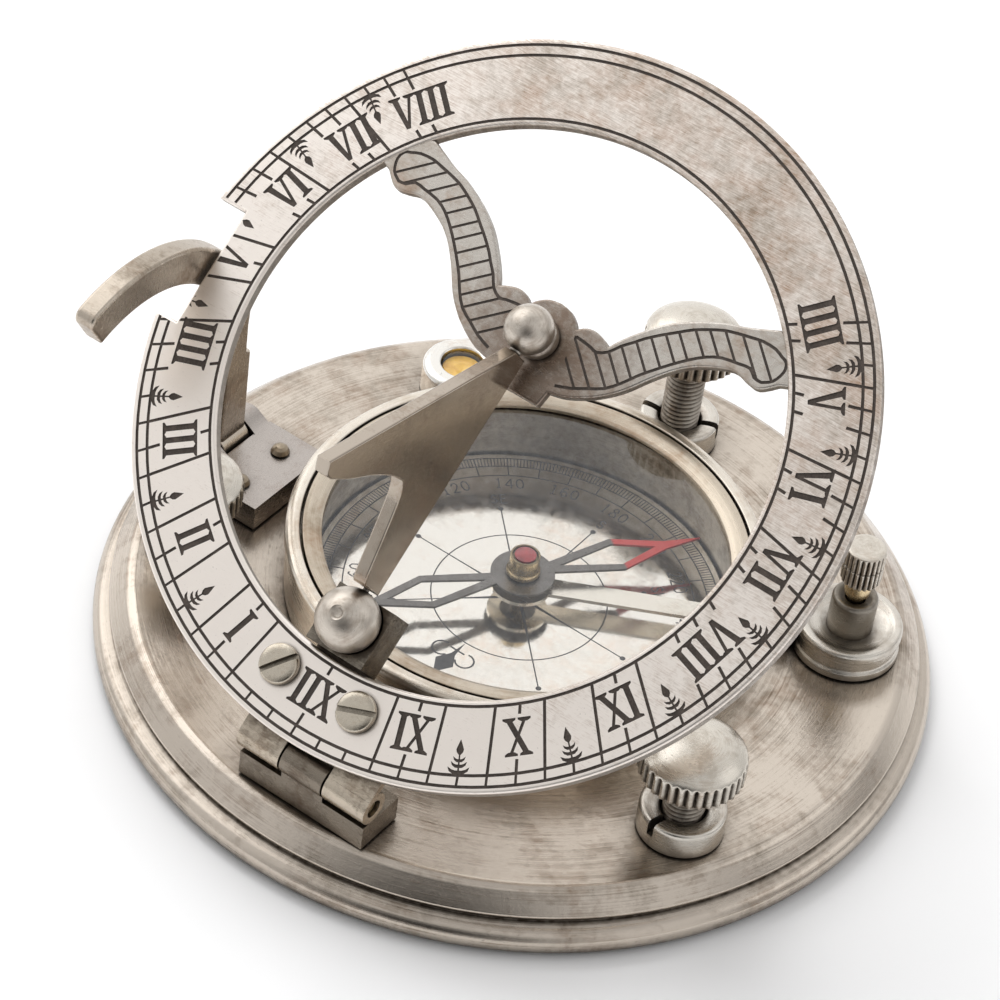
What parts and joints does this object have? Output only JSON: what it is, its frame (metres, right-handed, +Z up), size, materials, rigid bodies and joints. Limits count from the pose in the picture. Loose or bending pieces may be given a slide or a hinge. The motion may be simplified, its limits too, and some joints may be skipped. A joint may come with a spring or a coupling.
{
  "type": "folding sundial compass",
  "caption": "Round sundial compass: tilting hour ring with folding gnomon over a magnetic compass, on a base with levelling screws, spirit level and latitude arc.",
  "frame": {"origin": "centre of the base's underside, on the plane it stands on", "axes": "+Z is up; the hour ring's hinge is on the -Y side with its axis along X; the latitude arc is on the -X side; the levelling screws are at -27, 93 and 212 degrees about Z from +X"},
  "size_m": [0.12, 0.12, 0.0854],
  "materials": {
    "base_metal": "antique silver plate over brass, brushed, brown in the grooves",
    "compass_case": "antique silver plate, turned and brushed",
    "card": "silvered card with dark engraved marks",
    "clear_glass": "clear, polished",
    "ring_metal": "antique silver plate, warm, with dark engraving",
    "gnomon_metal": "polished, darker silver plate",
    "arc_metal": "antique silver plate, brown on the sides",
    "screw_metal": "polished silver plate, dark in the flutes",
    "brass": "plain brass, satin",
    "needle_steel": "blackened steel, the north end red",
    "level_liquid": "amber liquid",
    "jewel": "red jewel"
  },
  "bodies": {
    "base": {"base_plate": "base_metal", "compass_bowl": "compass_case", "compass_bezel": "compass_case", "glass_retaining_ring": "compass_case", "compass_glass": "clear_glass", "compass_card": "card", "needle_pivot_pin": "needle_steel", "hinge_block": "arc_metal", "hinge_block_screw_left": "brass", "hinge_block_screw_right": "brass", "hinge_pin": "brass", "arc_bracket": "arc_metal", "arc_hinge_pin": "brass", "arc_rivet_front": "brass", "arc_rivet_rear": "brass", "level_housing": "screw_metal", "level_liquid": "level_liquid", "level_window": "clear_glass", "levelling_collar_front": "screw_metal", "levelling_collar_rear": "screw_metal", "levelling_collar_left": "screw_metal", "arrest_flange": "screw_metal", "arrest_bush": "screw_metal", "lever_guide": "screw_metal"},
    "ring": {"hour_ring": "ring_metal", "hinge_leaf": "ring_metal", "ring_screw_left": "brass", "ring_screw_right": "brass", "gnomon_post": "ring_metal", "gnomon_pivot_screw": "ring_metal"},
    "gnomon": {"gnomon": "gnomon_metal"},
    "arc": {"latitude_arc": "arc_metal"},
    "needle": {"compass_needle": "needle_steel", "needle_cap": "brass", "needle_jewel": "jewel"},
    "arrest_knob": {"arrest_knob": "screw_metal"},
    "arrest_lever": {"arrest_lever": "screw_metal"},
    "levelling_rod_front": {"levelling_screw_front": "screw_metal"},
    "levelling_head_front": {"levelling_head_front": "screw_metal"},
    "levelling_rod_rear": {"levelling_screw_rear": "screw_metal"},
    "levelling_head_rear": {"levelling_head_rear": "screw_metal"},
    "levelling_rod_left": {"levelling_screw_left": "screw_metal"},
    "levelling_head_left": {"levelling_head_left": "screw_metal"}
  },
  "joints": [
    {"name": "ring_tilt", "type": "hinge", "parent": "base", "child": "ring", "pos_m": [0.003, -0.052, 0.016], "axis": [1, 0, 0], "range_deg": [-18, 14]},
    {"name": "gnomon_fold", "type": "hinge", "parent": "ring", "child": "gnomon", "pos_m": [0, -0.01634, 0.05632], "axis": [0, 0.776, 0.6307], "range_deg": [-88, 88]},
    {"name": "latitude_arc_fold", "type": "hinge", "parent": "base", "child": "arc", "pos_m": [-0.04895, -0.0067, 0.0122], "axis": [0, -1, 0], "range_deg": [0, 85]},
    {"name": "needle_spin", "type": "hinge", "parent": "base", "child": "needle", "pos_m": [0, 0, 0.0125], "axis": [0, 0, 1], "continuous": true},
    {"name": "arrest_knob_turn", "type": "hinge", "parent": "base", "child": "arrest_knob", "pos_m": [0.04027, 0.02325, 0.022], "axis": [0, 0, 1], "range_deg": [0, 90]},
    {"name": "arrest_lever_lift", "type": "hinge", "parent": "base", "child": "arrest_lever", "pos_m": [0.02771, 0.016, 0.0104], "axis": [-0.5, 0.866, 0], "range_deg": [0, 2]},
    {"name": "levelling_travel_front", "type": "slide", "parent": "base", "child": "levelling_rod_front", "axis": [0, 0, 1], "range_m": [-0.0015, 0.0015]},
    {"name": "levelling_turn_front", "type": "hinge", "parent": "levelling_rod_front", "child": "levelling_head_front", "pos_m": [0.04247, -0.02127, 0.0198], "axis": [0, 0, 1], "range_deg": [-720, 720]},
    {"name": "levelling_travel_rear", "type": "slide", "parent": "base", "child": "levelling_rod_rear", "axis": [0, 0, 1], "range_m": [-0.0015, 0.0015]},
    {"name": "levelling_turn_rear", "type": "hinge", "parent": "levelling_rod_rear", "child": "levelling_head_rear", "pos_m": [-0.00263, 0.04292, 0.0255], "axis": [0, 0, 1], "range_deg": [-720, 720]},
    {"name": "levelling_travel_left", "type": "slide", "parent": "base", "child": "levelling_rod_left", "axis": [0, 0, 1], "range_m": [-0.0015, 0.0015]},
    {"name": "levelling_turn_left", "type": "hinge", "parent": "levelling_rod_left", "child": "levelling_head_left", "pos_m": [-0.04037, -0.02503, 0.0184], "axis": [0, 0, 1], "range_deg": [-720, 720]}
  ],
  "couplings": [
    {"joint": "arrest_lever_lift", "follows": "arrest_knob_turn", "ratio": 0.0222},
    {"joint": "levelling_travel_front", "follows": "levelling_turn_front", "m_per_rad": 0.00011937},
    {"joint": "levelling_travel_rear", "follows": "levelling_turn_rear", "m_per_rad": 0.00011937},
    {"joint": "levelling_travel_left", "follows": "levelling_turn_left", "m_per_rad": 0.00011937}
  ]
}
